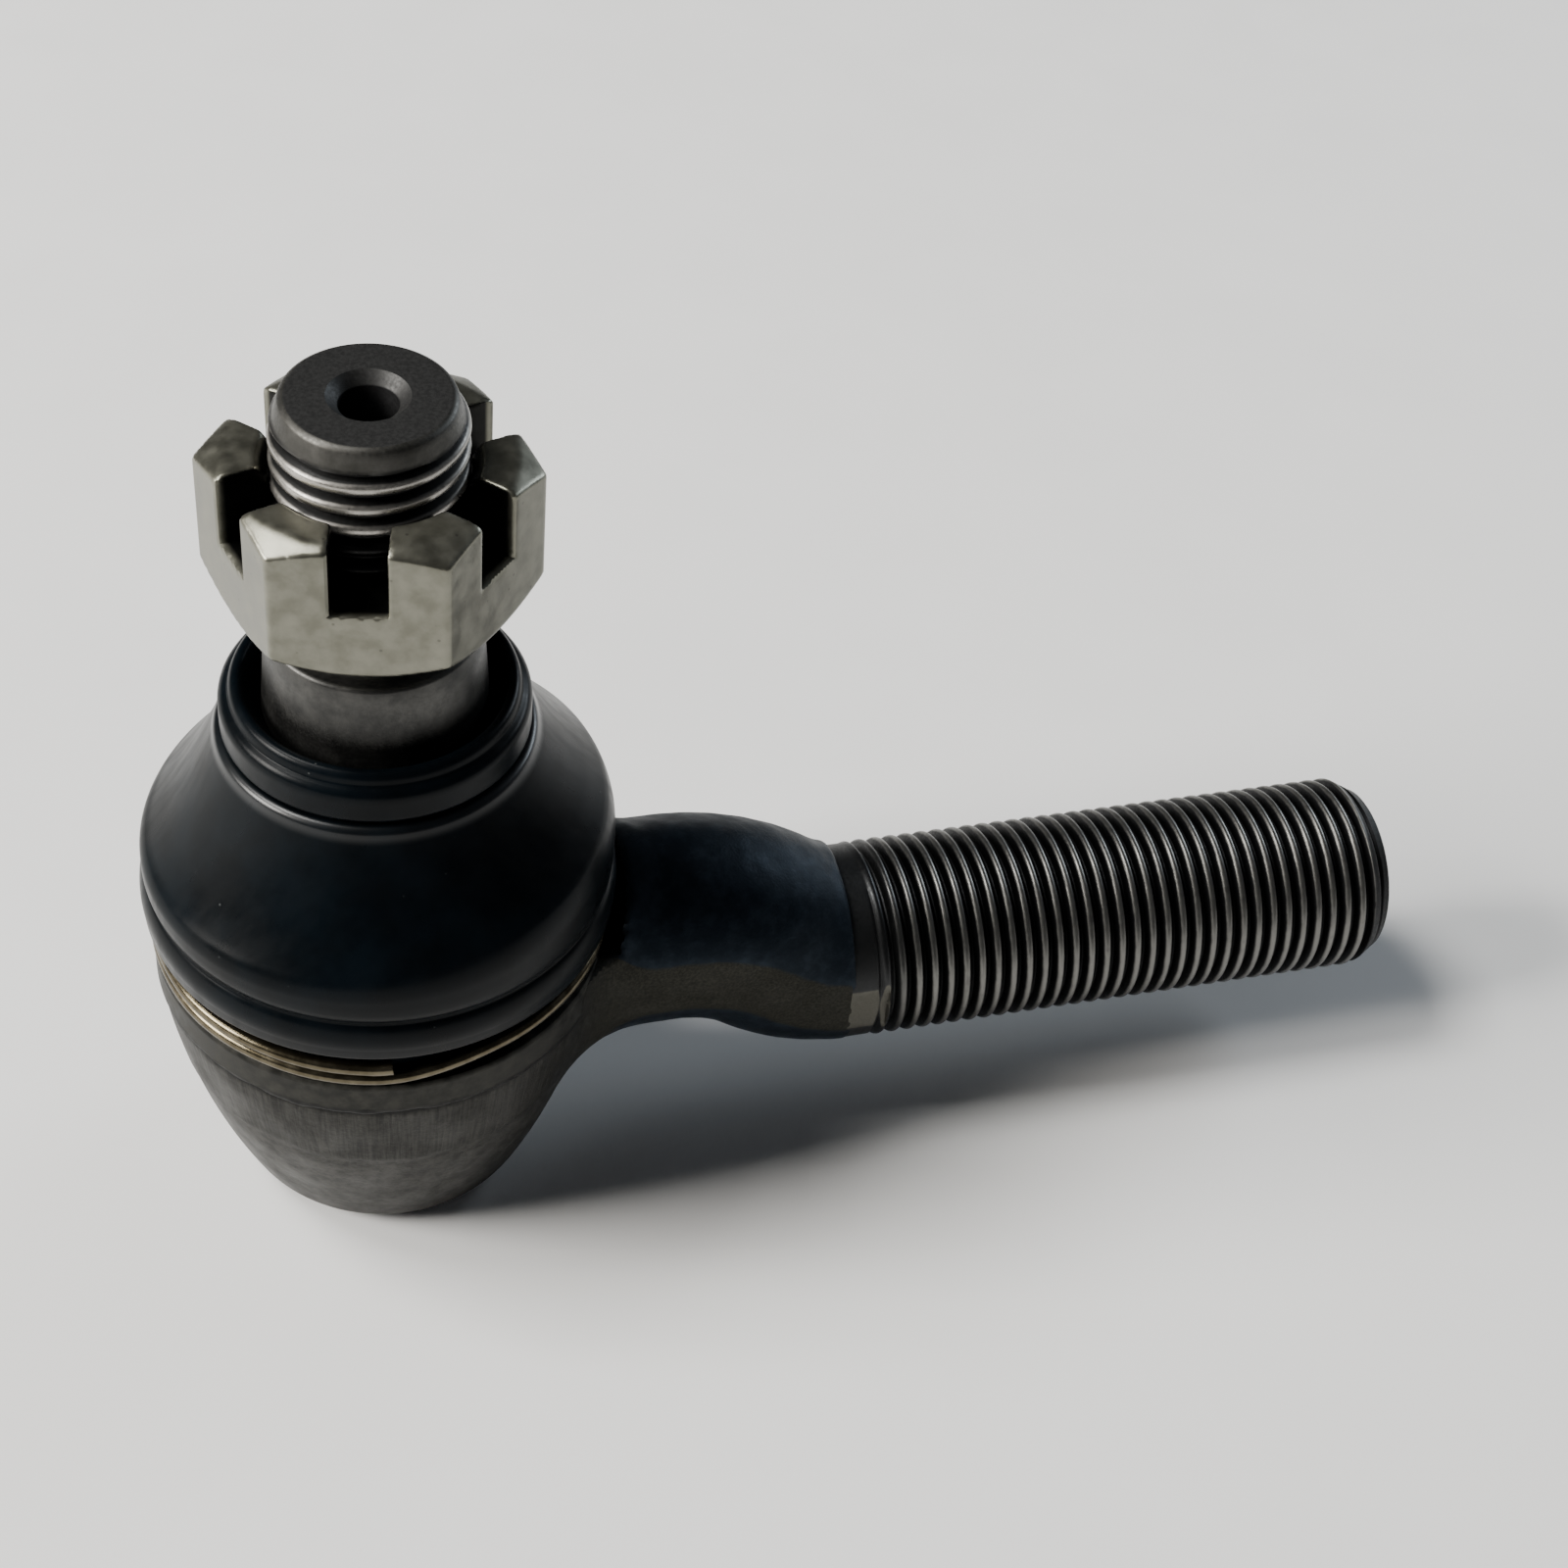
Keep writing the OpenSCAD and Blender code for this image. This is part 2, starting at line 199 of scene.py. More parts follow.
def skin(name, field, low, high, step, rounds=5, crease=40.0):
    """The surface where field is zero, as an even mesh of quads."""
    axes = [np.arange(a, b + step, step) for a, b in zip(low, high)]
    f = field(*np.meshgrid(*axes, indexing="ij"))
    inside = f < 0
    count = sum(inside[i:i - 1 or None, j:j - 1 or None, k:k - 1 or None].astype(np.int8)
                for i in (0, 1) for j in (0, 1) for k in (0, 1))
    cells = np.argwhere((count > 0) & (count < 8))
    index = -np.ones(count.shape, int)
    index[tuple(cells.T)] = np.arange(len(cells))
    v = np.stack([axes[d][cells[:, d]] + step / 2 for d in range(3)], axis=-1)
    faces = []
    for d in range(3):
        e1, e2 = (d + 1) % 3, (d + 2) % 3
        a = inside[tuple(slice(0, -1) if n == d else slice(1, -1) for n in range(3))]
        b = inside[tuple(slice(1, None) if n == d else slice(1, -1) for n in range(3))]
        for first, second, flip in ((a, b, False), (b, a, True)):
            at = np.argwhere(first & ~second)
            at[:, e1] += 1
            at[:, e2] += 1
            corner = []
            for o1, o2 in ((-1, -1), (0, -1), (0, 0), (-1, 0)):
                c = at.copy()
                c[:, e1] += o1
                c[:, e2] += o2
                corner.append(index[tuple(c.T)])
            quad = np.stack(corner, axis=-1)
            faces.append(quad[:, ::-1] if flip else quad)
    faces = np.concatenate(faces)
    edges = np.concatenate([faces[:, [n, (n + 1) % 4]] for n in range(4)])
    degree = np.bincount(edges.ravel(), minlength=len(v))[:, None]
    h = 0.02

    def pull(v, times):
        for _ in range(times):
            value = field(v[:, 0], v[:, 1], v[:, 2])
            slope = np.stack([(field(*(v + h * np.eye(3)[d]).T) - field(*(v - h * np.eye(3)[d]).T)) / (2 * h)
                              for d in range(3)], axis=-1)
            size = np.maximum((slope ** 2).sum(axis=1), 0.15)
            move = np.clip(value / size, -step / 2, step / 2)
            v = v - slope * move[:, None]
        return v

    v = pull(v, 2)
    for _ in range(rounds):
        total = np.zeros_like(v)
        for c in range(3):
            total[:, c] = (np.bincount(edges[:, 0], v[edges[:, 1], c], len(v))
                           + np.bincount(edges[:, 1], v[edges[:, 0], c], len(v)))
        v = pull(0.4 * v + 0.6 * total / degree, 1)
    v = pull(v, 2)
    obj = add_object(name, v, faces.tolist(), crease)
    return obj


def waves(x, y, z, length, seed):
    """A smooth, repeatable unevenness of about one unit, with this wavelength in millimetres."""
    rng = np.random.default_rng(seed)
    total = 0
    for _ in range(6):
        k = rng.normal(size=3)
        k = k / np.linalg.norm(k) * 2 * math.pi / (length * rng.uniform(0.7, 1.4))
        total = total + np.sin(k[0] * x + k[1] * y + k[2] * z + rng.uniform(0, 2 * math.pi))
    return total / 2.4


# ---------------------------------------------------------------- the forging
FALL = NECK_Z - SHANK_Z
RUN = BEND_X1 - BEND_X0
TURN = 2 * math.atan(FALL / RUN)
BEND_R = RUN / (2 * math.sin(TURN))


def arc_distance(x, z, cx, cz, start, end):
    angle = np.arctan2(z - cz, x - cx)
    middle = (start + end) / 2
    off = np.abs((angle - middle + math.pi) % (2 * math.pi) - math.pi)
    ends = [np.hypot(x - cx - BEND_R * math.cos(t), z - cz - BEND_R * math.sin(t)) for t in (start, end)]
    on = np.abs(np.hypot(x - cx, z - cz) - BEND_R)
    return np.where(off <= (end - start) / 2, on, np.minimum(*ends))


def neck_distance(x, z):
    """Distance in the XZ plane from the line that the neck's middle follows."""
    right = math.pi / 2
    d = np.hypot(np.maximum(x - BEND_X0, 0), z - NECK_Z)
    d = np.minimum(d, np.hypot(np.maximum(BEND_X1 - x, 0), z - SHANK_Z))
    d = np.minimum(d, arc_distance(x, z, BEND_X0, NECK_Z - BEND_R, right - TURN, right))
    return np.minimum(d, arc_distance(x, z, BEND_X1, SHANK_Z + BEND_R, 3 * right - TURN, 3 * right))


def forging(x, y, z):
    rho = np.hypot(x, y)
    angle = np.arctan2(y, x)
    uneven = waves(x, y, z, 9.0, 3) * 0.05 + waves(x, y, z, 3.2, 4) * 0.018
    # bowl, with the slightly proud sheared band round its upper half
    side = np.hypot(rho + CUP_ARC - CUP_R, z - CUP_MID_Z) - CUP_ARC
    ragged = 0.35 * np.sin(5 * angle + 1) + 0.25 * np.sin(13 * angle) + 0.12 * np.sin(37 * angle)
    proud = step_between(z, 20.2 + ragged, 20.9 + ragged) * (1 - step_between(z, 31.0, 31.5))
    streaks = 0.02 * np.sin(61 * angle) * np.sin(23 * angle + 2)
    side = side - (0.1 + streaks) * proud + 0.06
    side = np.where(z > 31.2, np.maximum(side, rho - 25.2), side)
    bowl = smooth_max(side, -z, 3.2)
    bowl = smooth_max(bowl, z - (BAND_TOP - 0.1), 0.3)
    # neck, a flattened round bar with trimmed flats on both sides
    bar = np.hypot(neck_distance(x, z), y * 1.046) - NECK_R + uneven
    flats = np.abs(y) - NECK_FLAT - 0.03 * waves(x, y, z, 2.2, 6)
    neck = smooth_max(bar, flats, 0.35)
    neck = smooth_max(neck, x - FORGED_END - 0.15 * np.sin(2 * np.arctan2(z - SHANK_Z, y)), 0.5)
    neck = smooth_max(neck, 10 - x, 0.5)
    both = smooth_min(bowl, neck, 7.0)
    both = smooth_max(both, -np.maximum(rho - 27.6, BAND_TOP - 0.2 - z), 0.4)
    # wall that the boot's foot grips
    both = np.minimum(both, np.maximum(rho - FOOT_WALL_R, np.maximum(z - CUP_TOP, 30 - z)))
    # inside: rolled lip, seat bore and throat
    lip = np.maximum(rho - LIP_R - 1.6 * np.maximum(z - 1.6, 0), z - LIP_TOP)
    bore = np.maximum(rho - BORE_R, np.maximum(LIP_TOP - 0.2 - z, z - BORE_TOP))
    throat = np.maximum(rho - THROAT_R - THROAT_FLARE * (z - BORE_TOP), BORE_TOP - 0.4 - z)
    hollow = np.minimum(np.minimum(lip, bore), throat)
    return smooth_max(both, -hollow, 0.6)


socket = skin("socket_forging", forging, (-27.5, -27.5, -1.2), (56.5, 27.5, 43.0), 0.62)
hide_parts("housing")

band_ring = dense([(24.2, 31.2), (25.3, 31.35), (BAND_R, 31.7), (BAND_R, 35.7), (25.25, BAND_TOP),
                   (22.9, BAND_TOP), (22.9, 34.0), (24.2, 33.0), (24.2, 31.2)], 0.5)[:-1]


def ragged_edge(r, z, a):
    low = step_between(33.2 - z, 0, 2.0)
    return r, z + low * (0.16 * np.sin(7 * a) + 0.12 * np.sin(19 * a + 1) + 0.08 * np.sin(43 * a))


turned_band = lathe("turned_band", band_ring, 240, closed=True, shift=ragged_edge)


def shank_limit(x):
    cap = np.minimum(SHANK_R, SHANK_R - 0.62 * np.maximum(x - 122.0, 0))
    cap = np.where(x < 58.4, np.minimum(cap, 11.8 + 0.2 * step_between(x, 57.4, 58.4)), cap)
    return cap, step_between(x, 57.1, 58.6)


def shank_flats(v):
    """Leaves the ends of the trimmed flats on the blank and the first crests."""
    near = v[:, 2] < 58.9
    v[near, 1] = np.clip(v[near, 1], -NECK_FLAT, NECK_FLAT)
    return v


shank = threaded("shank_thread", [(11.8, 54.2), (10.5, 53.4), (0, 53.4)],
                 [(10.35, 124.75), (10.0, SHANK_END), (5, SHANK_END), (0, SHANK_END)], SHANK_R, SHANK_PITCH,
                 56.0, 124.5, shank_limit, 1.227, shift=0.26, flat=shank_flats)
lay_along_x(shank, SHANK_Z)


# ---------------------------------------------------------------- ball stud
def stud_limit(z):
    cap = 8.76 + 0.27 * (109.0 - z) + 0.75 * step_between(z, 107.3, 106.1)
    cap = np.minimum(cap, 8.5 + 1.3 * np.maximum(z - 83.2, 0))
    return cap, step_between(z, 107.4, 106.6)


stud_low = ([(8.5, 82.6), (8.6, 81.9), (9.4, 81.25), (10.7, 81.2), (11.1, 81.05), (TAPER_R, TAPER_TOP)]
            + [(TAPER_R + (TAPER_TOP - z) / 16, z) for z in np.linspace(78, 60.8, 7)]
            + [(12.59, TAPER_LOW), (12.45, 59.4), (12.0, 58.6), (10.7, 56.7), (9.4, 54.9), (8.6, 53.6)]
            + [(8.2, 52.0), (8.2, 39.0)])
ball_top = math.degrees(math.asin(math.sqrt(BALL_R ** 2 - 8.35 ** 2) / BALL_R))
stud_low += arc(0, BALL_Z, BALL_R, BALL_R, ball_top, -90, 48)
stud_high = [(8.75, 108.95), (8.62, 109.2), (8.16, STUD_TOP), (8.0, STUD_TOP), (6.2, STUD_TOP),
             (4.15, STUD_TOP), (3.0, 108.4), (2.95, 108.3), (2.95, 104.6), (2.6, 104.1), (0, 102.7)]
stud = threaded("ball_stud_detail", stud_low, [(8.9, 108.5)] + stud_high, STUD_R, STUD_PITCH,
                83.0, 108.3, stud_limit, 1.15, shift=0.66)
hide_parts("ball_stud")


# ---------------------------------------------------------------- slotted nut
def nut_field(x, y, z):
    rho = np.hypot(x, y)
    h = z - NUT_Z
    hexagon = slots = None
    for k in range(3):
        t = math.radians(NUT_TURN + 60 * k)
        across = np.abs(x * math.cos(t) + y * math.sin(t)) - NUT_AF / 2
        slot = np.maximum(np.abs(y * math.cos(t) - x * math.sin(t)) - SLOT_W / 2, SLOT_FLOOR - z)
        hexagon = across if hexagon is None else smooth_max(hexagon, across, 0.35)
        slots = slot if slots is None else np.minimum(slots, slot)
    body = smooth_max(hexagon, np.maximum(-h, h - NUT_H), 0.3)
    body = smooth_max(body, (0.5 * (rho - 14.4) + h - NUT_H) * 0.9, 0.25)
    body = smooth_max(body, (0.7 * (rho - 14.57) - h) * 0.82, 0.25)
    hole = -np.minimum(rho - 9.95, 0.72 * (rho - 11.2 + np.minimum(h, NUT_H - h)))
    body = smooth_max(body, hole, 0.2)
    return smooth_max(body, -slots, 0.35)


nut = skin("castle_nut_detail", nut_field, (-18.2, -18.2, NUT_Z - 1), (18.2, 18.2, NUT_Z + NUT_H + 1),
           0.36, 4)
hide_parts("castle_nut")


# ---------------------------------------------------------------- boot
WALL_R, SHOULDER_R, SHOULDER_Z, SHOULDER_TURN = 26.0, 5.5, 50.4, 35.0
SEAM_TURN = 15.0             # where on the shoulder the boot's two pieces meet


def shoulder(radius, start, end, steps):
    return arc(WALL_R - SHOULDER_R, SHOULDER_Z, radius, radius, start, end, steps)


def bowed(start, end, sag, steps):
    """Points of a line that bows in by sag, without its first point."""
    (a, b), (c, d) = start, end
    size = math.hypot(c - a, d - b)
    points = []
    for k in range(1, steps + 1):
        t = k / steps
        bow = 4 * sag * t * (1 - t) / size
        points.append((a + (c - a) * t - bow * (d - b), b + (d - b) * t + bow * (c - a)))
    return points


INNER_R = SHOULDER_R - 1.8   # the shoulder's inner side
lower_outside = (dense([(23.4, 36.2), (24.0, 36.15), (24.05, 36.4), (24.05, 40.5), (24.2, 40.8),
                        (24.6, 40.95)], 0.4)
                 + arc(25.0, 42.15, 1.25, 1.25, -90, -12, 8) + arc(24.9, 44.0, 1.5, 2.75, -25, 66, 12)
                 + [(25.62, 46.62), (25.55, 46.8), (25.68, 47.0), (25.9, 47.6), (26.0, 48.4), (26.0, 49.4)]
                 + shoulder(SHOULDER_R, 0, SEAM_TURN, 4))
upper_outside = (shoulder(SHOULDER_R, SEAM_TURN, SHOULDER_TURN, 5)[1:]
                 + bowed(shoulder(SHOULDER_R, 0, SHOULDER_TURN, 1)[-1], (17.3, 66.0), 0.5, 20)
                 + arc(16.25, 66.05, 1.0, 1.0, 20, 90, 6)
                 + [(15.9, 67.02), (15.6, 66.95), (15.42, 67.02), (15.5, 67.2), (15.8, 67.35), (16.1, 67.45)]
                 + arc(15.95, 67.95, 0.5, 0.5, -60, 0, 4) + dense([(16.45, 68.4), (16.45, 70.5)], 0.5)
                 + [(16.38, 70.9), (16.15, 71.3), (15.8, 71.6), (15.5, 71.72), (15.42, 71.8), (15.36, 72.0)]
                 + arc(14.45, 71.95, 0.9, 1.15, 15, 130, 9)
                 + [(13.6, 72.3), (13.3, 71.9), (12.9, 71.2), (12.5, 70.6), (12.2, 70.25), (12.14, 69.9),
                    (12.14, 69.5)])
lower_inside = (dense([(23.4, 36.2), (23.4, 41.5)], 0.8) + [(23.45, 42.2), (23.6, 43.2)]
                + dense([(23.75, 44.0), (24.2, 46.5), (24.2, 49.4)], 1.0)
                + shoulder(INNER_R, 0, SEAM_TURN, 3))
upper_inside = (shoulder(INNER_R, SEAM_TURN, SHOULDER_TURN, 4)[1:]
                + bowed(shoulder(INNER_R, 0, SHOULDER_TURN, 1)[-1], (15.2, 64.6), 0.4, 16)
                + dense([(14.2, 65.3), (13.0, 65.5), (13.0, 69.4), (12.14, 69.5)], 0.7))


def rubber_grid(outline, facing, cols=200):
    """Points and normals of one side of the boot, as rows of rings. The boot has settled a little
    out of true: its shoulder stands higher on the shank's side."""
    p = np.array(outline, float)
    a = np.linspace(0, 2 * math.pi, cols, endpoint=False)
    lean = np.interp(p[:, 1], (47.5, 53.6, 56.6, 60.8, 64.4, 66.5), (0, 2.1, 1.8, 1.15, 0.5, 0))
    z = p[:, 1:] + lean[:, None] * np.cos(a) + 0.03 * step_between(p[:, 1:], 48, 52) * np.sin(3 * a + 1)
    grid = np.stack([p[:, :1] * np.cos(a), p[:, :1] * np.sin(a), z], axis=-1)
    leg = np.diff(grid, axis=0)
    leg /= np.maximum(np.linalg.norm(leg, axis=2, keepdims=True), 1e-9)
    along = np.concatenate([leg[:1], leg[:-1] + leg[1:], leg[-1:]])
    round_it = np.roll(grid, -1, axis=1) - np.roll(grid, 1, axis=1)
    normal = np.cross(round_it, along) * facing
    return grid, normal / np.maximum(np.linalg.norm(normal, axis=2, keepdims=True), 1e-9)


def rubber(name, outside, inside, rows_out, rows_in):
    """The part of the boot between these rows of its outer and inner sides."""
    parts = [(grid[rows].reshape(-1, 3), normal[rows].reshape(-1, 3))
             for (grid, normal), rows in ((outside, rows_out), (inside, rows_in))]
    cols = outside[0].shape[1]
    offset = len(parts[0][0])
    faces = grid_faces(offset // cols, cols)
    faces += [[q + offset for q in reversed(f)] for f in grid_faces(len(parts[1][0]) // cols, cols)]
    points, normals = (np.concatenate(items) for items in zip(*parts))
    return add_object(name, points, faces, normals=normals)


outer_side = rubber_grid(lower_outside + upper_outside, 1.0)
inner_side = rubber_grid(lower_inside + upper_inside, -1.0)
boot_low = rubber("boot_lower", outer_side, inner_side,
                  slice(0, len(lower_outside)), slice(0, len(lower_inside)))
boot_high = rubber("boot_upper", outer_side, inner_side,
                   slice(len(lower_outside) - 1, None), slice(len(lower_inside) - 1, None))
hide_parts("boot")
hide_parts("boot")

# ---------------------------------------------------------------- wire ring
WIRE_R = 0.8


def wire_ring(start=48.0, turns=1.6):
    """Wire wound round the foot: low at first, then climbing over its own beginning to end on top of it."""
    n, around = int(turns * 150), 14
    t = np.linspace(0, 1, n + 1)
    a = np.radians(start) + 2 * math.pi * turns * t
    z = 36.95 + 1.62 * step_between(np.degrees(a), 260, 292)
    r = 24.9 + 0.25 * step_between(t, 1 - 0.015, 1.0) + 0.03 * np.sin(9 * a)
    z = z + 0.3 * step_between(t, 1 - 0.01, 1.0)
    path = np.stack([r * np.cos(a), r * np.sin(a), z], axis=-1)
    along = np.gradient(path, axis=0)
    along /= np.linalg.norm(along, axis=1, keepdims=True)
    out = path * [1, 1, 0]
    out /= np.linalg.norm(out, axis=1, keepdims=True)
    up = np.cross(along, out)
    b = np.linspace(0, 2 * math.pi, around, endpoint=False)
    b = b[None, :, None]
    tube = (path[:, None] + WIRE_R * (np.cos(b) * out[:, None] + np.sin(b) * up[:, None])).reshape(-1, 3)
    verts = np.concatenate([tube, path[:1], path[-1:]])
    faces = grid_faces(n + 1, around)
    faces += [[(k + 1) % around, k, len(tube)] for k in range(around)]
    faces += [[n * around + k, n * around + (k + 1) % around, len(tube) + 1] for k in range(around)]
    obj = add_object("boot_wire", verts, faces)
    merge(obj, 50.0)
    return obj


wire = wire_ring()
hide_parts("boot_wire_ring")

# conical disc spring under the lower seat, which flattens as the seat gives
spring_outline = dense([(10.1, 9.75), (16.9, 8.48), (17.15, 8.5), (17.2, 8.6), (17.2, 9.4), (17.1, 9.55),
                        (10.3, 10.85), (10.1, 10.82), (10.0, 10.7), (10.0, 9.85), (10.1, 9.75)], 0.8)[:-1]
spring = lathe("disc_spring_detail", spring_outline, 120, closed=True)
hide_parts("disc_spring")


# ---------------------------------------------------------------- materials
class Shader:
    """A Principled material with short names for the nodes that these surfaces use."""

    def __init__(self, name, **settings):
        self.material = bpy.data.materials.new(name)
        self.material.use_nodes = True
        self.tree = self.material.node_tree
        self.surface = self.tree.nodes["Principled BSDF"]
        for key, value in settings.items():
            self.surface.inputs[key.replace("_", " ")].default_value = value
        place = self.node("ShaderNodeTexCoord").outputs["Object"]
        scaled = self.node("ShaderNodeVectorMath", operation="SCALE")
        self.put(scaled.inputs[0], place)
        scaled.inputs["Scale"].default_value = 1000.0
        self.mm = scaled.outputs[0]
        parts = self.node("ShaderNodeSeparateXYZ")
        self.put(parts.inputs[0], self.mm)
        self.x, self.y, self.z = parts.outputs

    def node(self, kind, **attributes):
        made = self.tree.nodes.new(kind)
        for key, value in attributes.items():
            setattr(made, key, value)
        return made

    def put(self, socket, value):
        if isinstance(value, bpy.types.NodeSocket):
            self.tree.links.new(value, socket)
        else:
            socket.default_value = value

    def math(self, operation, a, b=0.0, c=0.0):
        made = self.node("ShaderNodeMath", operation=operation)
        for socket, value in zip(made.inputs, (a, b, c)):
            self.put(socket, value)
        return made.outputs[0]

    def radius(self, a, b, offset=0.0):
        """Distance from an axis, given the two coordinates across it."""
        b = self.math("SUBTRACT", b, offset)
        return self.math("SQRT", self.math("ADD", self.math("MULTIPLY", a, a), self.math("MULTIPLY", b, b)))

    def span(self, value, low, high, start=0.0, end=1.0):
        made = self.node("ShaderNodeMapRange", interpolation_type="SMOOTHSTEP")
        for socket, item in zip(made.inputs, (value, low, high, start, end)):
            self.put(socket, item)
        return made.outputs[0]

    def vector(self, x, y, z):
        made = self.node("ShaderNodeCombineXYZ")
        for socket, value in zip(made.inputs, (x, y, z)):
            self.put(socket, value)
        return made.outputs[0]

    def noise(self, scale, detail=4.0, rough=0.55, vector=None):
        made = self.node("ShaderNodeTexNoise")
        self.put(made.inputs["Vector"], vector or self.mm)
        made.inputs["Scale"].default_value = scale
        made.inputs["Detail"].default_value = detail
        made.inputs["Roughness"].default_value = rough
        return made.outputs[0]

    def specks(self, scale, size, vector=None):
        """1 inside small round dots scattered at random, 0 elsewhere."""
        made = self.node("ShaderNodeTexVoronoi")
        self.put(made.inputs["Vector"], vector or self.mm)
        made.inputs["Scale"].default_value = scale
        return self.span(made.outputs["Distance"], size, size * 0.5)

    def mix(self, factor, a, b):
        made = self.node("ShaderNodeMix", data_type="RGBA")
        for socket, value in zip((made.inputs[0], made.inputs[6], made.inputs[7]), (factor, a, b)):
            self.put(socket, (*value, 1.0) if isinstance(value, tuple) else value)
        return made.outputs[2]

    def bump(self, height, distance, strength=1.0, normal=None):
        made = self.node("ShaderNodeBump")
        made.inputs["Distance"].default_value = distance * 0.001
        made.inputs["Strength"].default_value = strength
        self.put(made.inputs["Height"], height)
        if normal:
            self.put(made.inputs["Normal"], normal)
        return made.outputs[0]

    def finish(self, color, roughness, normal=None):
        self.put(self.surface.inputs["Base Color"], color)
        self.put(self.surface.inputs["Roughness"], roughness)
        if normal:
            self.put(self.surface.inputs["Normal"], normal)
        return self.material


def forged_steel():
    s = Shader("forged_steel", Metallic=0.6, Specular_IOR_Level=0.2)
    rho = s.radius(s.x, s.y)
    angle = s.math("ARCTAN2", s.y, s.x)
    coarse, medium, fine = s.noise(0.16, 3), s.noise(0.55, 5), s.noise(3.0, 4)
    upright = s.vector(s.math("MULTIPLY", angle, 75.0), s.math("MULTIPLY", s.z, 0.15), 0.0)
    streak = s.noise(1.0, 3, 0.6, upright)
    edge = s.math("MULTIPLY", s.math("SUBTRACT", s.noise(0.5, 4), 0.5), 2.4)
    in_band = s.math("MULTIPLY", s.span(s.math("ADD", s.z, edge), 20.0, 21.2), s.span(s.z, 32.0, 31.2))
    grain = s.noise(1.6, 5, 0.65)
    pitted = s.span(s.math("ADD", medium, s.math("MULTIPLY", grain, 0.8)), 0.65, 1.15)
    bowl = s.mix(pitted, (0.011, 0.0107, 0.0095), (0.042, 0.041, 0.037))
    scored = s.span(s.math("ADD", streak, s.math("MULTIPLY", grain, 0.5)), 0.5, 1.0)
    sheared = s.mix(scored, (0.006, 0.0058, 0.005), (0.032, 0.031, 0.027))
    cup = s.mix(in_band, bowl, sheared)
    shadow = s.span(s.math("ADD", s.z, s.math("MULTIPLY", edge, 0.35)), 30.6, 31.2)
    under_band = s.math("MULTIPLY", shadow, s.span(rho, 27.5, 26.5))
    cup = s.mix(s.math("MULTIPLY", under_band, 0.8), cup, (0.003, 0.003, 0.003))
    scale = s.mix(s.span(medium, 0.4, 0.75), (0.006, 0.0112, 0.018), (0.014, 0.022, 0.032))
    on_neck = s.span(s.math("ADD", rho, s.math("MULTIPLY", edge, 0.5)), 25.9, 28.5)
    aside = s.math("ABSOLUTE", s.math("ADD", s.y, s.math("MULTIPLY", edge, 0.02)))
    trimmed = s.math("MULTIPLY", s.span(aside, 11.22, 11.34), s.span(s.x, 18.0, 24.0))
    flash = s.mix(s.span(fine, 0.3, 0.75), (0.014, 0.014, 0.011), (0.034, 0.033, 0.026))
    color = s.mix(trimmed, s.mix(on_neck, cup, scale), flash)
    rough = s.math("ADD", s.span(coarse, 0.25, 0.75, 0.42, 0.6), s.math("MULTIPLY", trimmed, 0.05))
    height = s.math("ADD", s.math("MULTIPLY", medium, 0.6), s.math("MULTIPLY", fine, 0.25))
    normal = s.bump(height, 0.12, 0.7)
    normal = s.bump(s.math("MULTIPLY", streak, in_band), 0.05, 0.7, normal)
    return s.finish(color, rough, normal)


def turned_steel():
    s = Shader("turned_steel", Metallic=0.7, Specular_IOR_Level=0.2)
    lines = s.noise(1.0, 2, 0.5, s.vector(0.0, 0.0, s.math("MULTIPLY", s.z, 9.0)))
    medium = s.noise(0.6, 5)
    color = s.mix(s.span(medium, 0.3, 0.75), (0.012, 0.012, 0.0105), (0.04, 0.039, 0.034))
    # painted shadow: near-black along the band's ragged lower edge and underside
    ragged = s.math("ADD", s.z, s.math("MULTIPLY", s.math("SUBTRACT", s.noise(0.8, 4), 0.5), 1.2))
    color = s.mix(s.span(ragged, 32.4, 31.7), color, (0.003, 0.003, 0.003))
    return s.finish(color, s.span(medium, 0.3, 0.7, 0.46, 0.6), s.bump(lines, 0.02, 0.6))


def thread_steel(name, axis_is_x, crest_r, depth, dark, light, low_rough):
    """Steel that is dark in the thread's grooves and polished on its crests."""
    s = Shader(name, Metallic=0.92)
    r = s.radius(s.y, s.z, SHANK_Z) if axis_is_x else s.radius(s.x, s.y)
    along = s.x if axis_is_x else s.z
    medium, fine = s.noise(0.4, 4), s.noise(3.0, 3)
    patchy = s.math("MULTIPLY", s.math("SUBTRACT", medium, 0.5), 0.3)
    worn = s.span(s.math("ADD", r, patchy), crest_r - depth, crest_r)
    color = s.mix(worn, dark, light)
    color = s.mix(s.span(medium, 0.55, 0.8, 0.0, 0.4), color, dark)
    rough = s.math("ADD", s.span(fine, 0.3, 0.7, low_rough, low_rough + 0.12),
                   s.math("MULTIPLY", s.math("SUBTRACT", 1.0, worn), 0.16))
    lines = s.noise(1.0, 2, 0.5, s.vector(0.0, 0.0, s.math("MULTIPLY", along, 10.0)))
    return s, color, rough, s.bump(s.math("ADD", lines, s.math("MULTIPLY", fine, 0.6)), 0.008, 0.6)


def shank_steel():
    s, color, rough, normal = thread_steel("shank_steel", True, SHANK_R, 0.3, (0.007, 0.0073, 0.008),
                                           (0.17, 0.167, 0.157), 0.3)
    color = s.mix(s.span(s.x, 62.5, 58.5), color, (0.04, 0.041, 0.042))
    flat = s.math("MULTIPLY", s.span(s.math("ABSOLUTE", s.y), 11.3, 11.38), s.span(s.x, 59.2, 58.9))
    color = s.mix(flat, color, (0.1, 0.097, 0.083))
    return s.finish(color, rough, normal)


